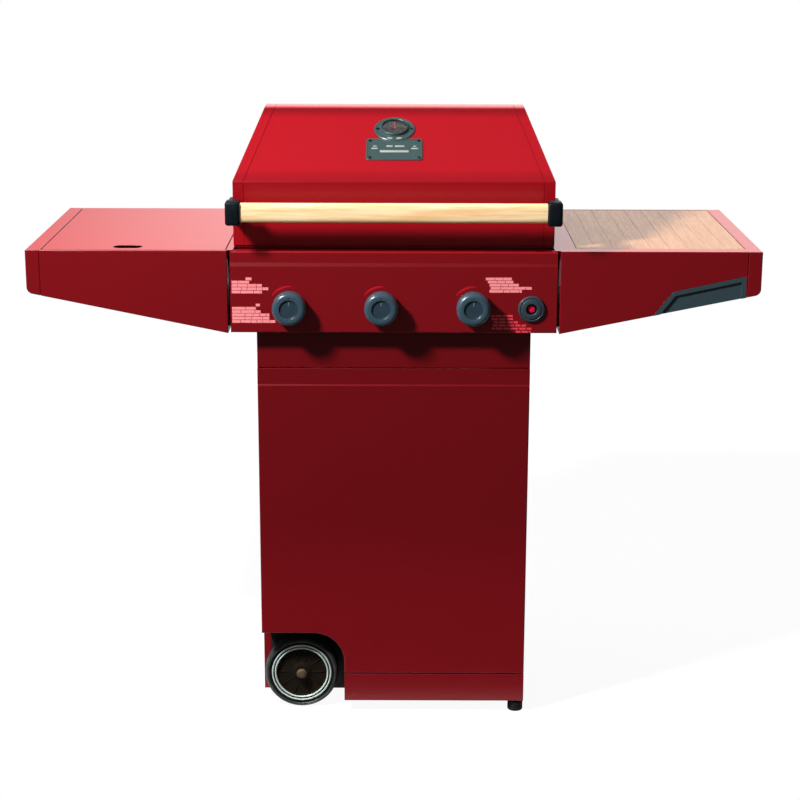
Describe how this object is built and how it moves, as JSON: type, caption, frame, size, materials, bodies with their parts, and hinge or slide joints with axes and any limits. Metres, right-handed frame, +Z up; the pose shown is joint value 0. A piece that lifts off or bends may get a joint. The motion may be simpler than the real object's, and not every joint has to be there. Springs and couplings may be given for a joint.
{
  "type": "gas barbecue grill",
  "caption": "Gas barbecue grill on a cabinet cart with a hinged lid, burner knobs, a push igniter, a storage shelf, a cutting-board shelf, wheels and a cabinet door.",
  "frame": {"origin": "on the floor, under the centre of the bounding box", "axes": "+X to the right of a person at the controls, +Y away from that person, +Z up"},
  "size_m": [1.36, 0.533, 1.165],
  "materials": {
    "red_enamel": "gloss baked enamel",
    "shelf_enamel": "gloss baked enamel, sun-faded on top",
    "well_enamel": "matt black enamel",
    "lid_enamel": "gloss porcelain enamel",
    "dark_enamel": "semi-gloss black enamel",
    "cast_body": "as cast",
    "grate_enamel": "matt porcelain",
    "stainless": "brushed",
    "zinc_steel": "zinc plated",
    "chrome_trim": "polished",
    "brass_fittings": "machined",
    "handle_wood": "oiled",
    "board_wood": "varnished",
    "black_plastic": "satin",
    "knob_plastic": "gloss",
    "grip_plastic": "satin",
    "tray_plastic": "satin",
    "wheel_plastic": "satin",
    "tyre_rubber": "matt",
    "button_plastic": "gloss",
    "needle_paint": "gloss",
    "gauge_glass": "clear",
    "plate_metal": "satin",
    "galvanised": "galvanised",
    "ceramic": "glazed"
  },
  "bodies": {
    "cart": {"cabinet_left_panel": "red_enamel", "cabinet_right_panel": "red_enamel", "cabinet_back_panel": "red_enamel", "cabinet_top_rail": "red_enamel", "base_pan": "red_enamel", "control_panel": "red_enamel", "left_shelf_box": "shelf_enamel", "left_shelf_cap": "shelf_enamel", "right_shelf_box": "shelf_enamel", "right_shelf_cap": "shelf_enamel", "side_frames": "dark_enamel", "lid_hinges": "dark_enamel", "wheel_wells": "well_enamel", "firebox": "cast_body", "cooking_grate_left": "grate_enamel", "cooking_grate_right": "grate_enamel", "burner_left": "stainless", "burner_middle": "stainless", "burner_right": "stainless", "heat_tents": "stainless", "axle": "zinc_steel", "shelf_bolts": "zinc_steel", "warming_rack": "chrome_trim", "axle_caps": "brass_fittings", "gas_manifold": "brass_fittings", "valve_body_left": "brass_fittings", "valve_body_middle": "brass_fittings", "valve_body_right": "brass_fittings", "feet": "black_plastic", "igniter_bezel": "black_plastic", "igniter_module": "black_plastic", "carry_grip": "grip_plastic", "storage_tray": "tray_plastic", "grease_rails": "galvanised", "electrode": "ceramic"},
    "lid": {"lid_skin": "lid_enamel", "lid_end_left": "lid_enamel", "lid_end_right": "lid_enamel", "lid_handle": "handle_wood", "handle_blocks": "black_plastic", "gauge_case": "chrome_trim", "gauge_glass": "gauge_glass", "lid_plate": "plate_metal", "plate_screws": "zinc_steel"},
    "gauge_needle": {"gauge_needle": "needle_paint"},
    "front_wheel": {"wheel_rim_front": "wheel_plastic", "wheel_tyre_front": "tyre_rubber"},
    "back_wheel": {"wheel_rim_back": "wheel_plastic", "wheel_tyre_back": "tyre_rubber"},
    "storage_lid": {"storage_lid": "shelf_enamel"},
    "cutting_board": {"cutting_board": "board_wood"},
    "door": {"cabinet_door": "red_enamel"},
    "grease_tray": {"grease_tray": "galvanised"},
    "igniter_button": {"igniter_button": "button_plastic"},
    "stem_left": {"valve_stem_left": "brass_fittings"},
    "knob_left": {"knob_left": "knob_plastic"},
    "stem_middle": {"valve_stem_middle": "brass_fittings"},
    "knob_middle": {"knob_middle": "knob_plastic"},
    "stem_right": {"valve_stem_right": "brass_fittings"},
    "knob_right": {"knob_right": "knob_plastic"}
  },
  "joints": [
    {"name": "lid_hinge", "type": "hinge", "parent": "cart", "child": "lid", "pos_m": [0, 0.2445, 0.925], "axis": [-1, 0, 0], "range_deg": [0, 85]},
    {"name": "gauge_needle_turn", "type": "hinge", "parent": "lid", "child": "gauge_needle", "pos_m": [0, -0.0405, 1.12819], "axis": [0, 0.4552, -0.8904], "range_deg": [-125, 125], "stiffness_Nm_per_rad": 0.002},
    {"name": "igniter_push", "type": "slide", "parent": "cart", "child": "igniter_button", "axis": [0, 1, 0], "range_m": [0, 0.005], "stiffness_N_per_m": 400, "springref_m": -0.003},
    {"name": "front_wheel_spin", "type": "hinge", "parent": "cart", "child": "front_wheel", "pos_m": [-0.181, -0.1615, 0.072], "axis": [0, 1, 0], "continuous": true},
    {"name": "back_wheel_spin", "type": "hinge", "parent": "cart", "child": "back_wheel", "pos_m": [-0.181, 0.1865, 0.072], "axis": [0, 1, 0], "continuous": true},
    {"name": "storage_lid_hinge", "type": "hinge", "parent": "cart", "child": "storage_lid", "pos_m": [-0.48, 0.2585, 0.915], "axis": [-1, 0, 0], "range_deg": [0, 95]},
    {"name": "board_lift", "type": "slide", "parent": "cart", "child": "cutting_board", "axis": [0, 0, 1], "range_m": [0, 0.12]},
    {"name": "door_hinge", "type": "hinge", "parent": "cart", "child": "door", "pos_m": [0.251, -0.192, 0.39], "axis": [0, 0, 1], "range_deg": [0, 105]},
    {"name": "grease_tray_slide", "type": "slide", "parent": "cart", "child": "grease_tray", "axis": [0, 1, 0], "range_m": [0, 0.28]},
    {"name": "knob_left_turn", "type": "hinge", "parent": "cart", "child": "stem_left", "pos_m": [-0.1935, -0.2215, 0.8215], "axis": [0, -1, 0], "range_deg": [0, 225]},
    {"name": "knob_left_push", "type": "slide", "parent": "stem_left", "child": "knob_left", "axis": [0, 1, 0], "range_m": [0, 0.003], "stiffness_N_per_m": 800, "springref_m": -0.002},
    {"name": "knob_middle_turn", "type": "hinge", "parent": "cart", "child": "stem_middle", "pos_m": [-0.023, -0.2215, 0.8215], "axis": [0, -1, 0], "range_deg": [0, 225]},
    {"name": "knob_middle_push", "type": "slide", "parent": "stem_middle", "child": "knob_middle", "axis": [0, 1, 0], "range_m": [0, 0.003], "stiffness_N_per_m": 800, "springref_m": -0.002},
    {"name": "knob_right_turn", "type": "hinge", "parent": "cart", "child": "stem_right", "pos_m": [0.1475, -0.2215, 0.8215], "axis": [0, -1, 0], "range_deg": [0, 225]},
    {"name": "knob_right_push", "type": "slide", "parent": "stem_right", "child": "knob_right", "axis": [0, 1, 0], "range_m": [0, 0.003], "stiffness_N_per_m": 800, "springref_m": -0.002}
  ]
}
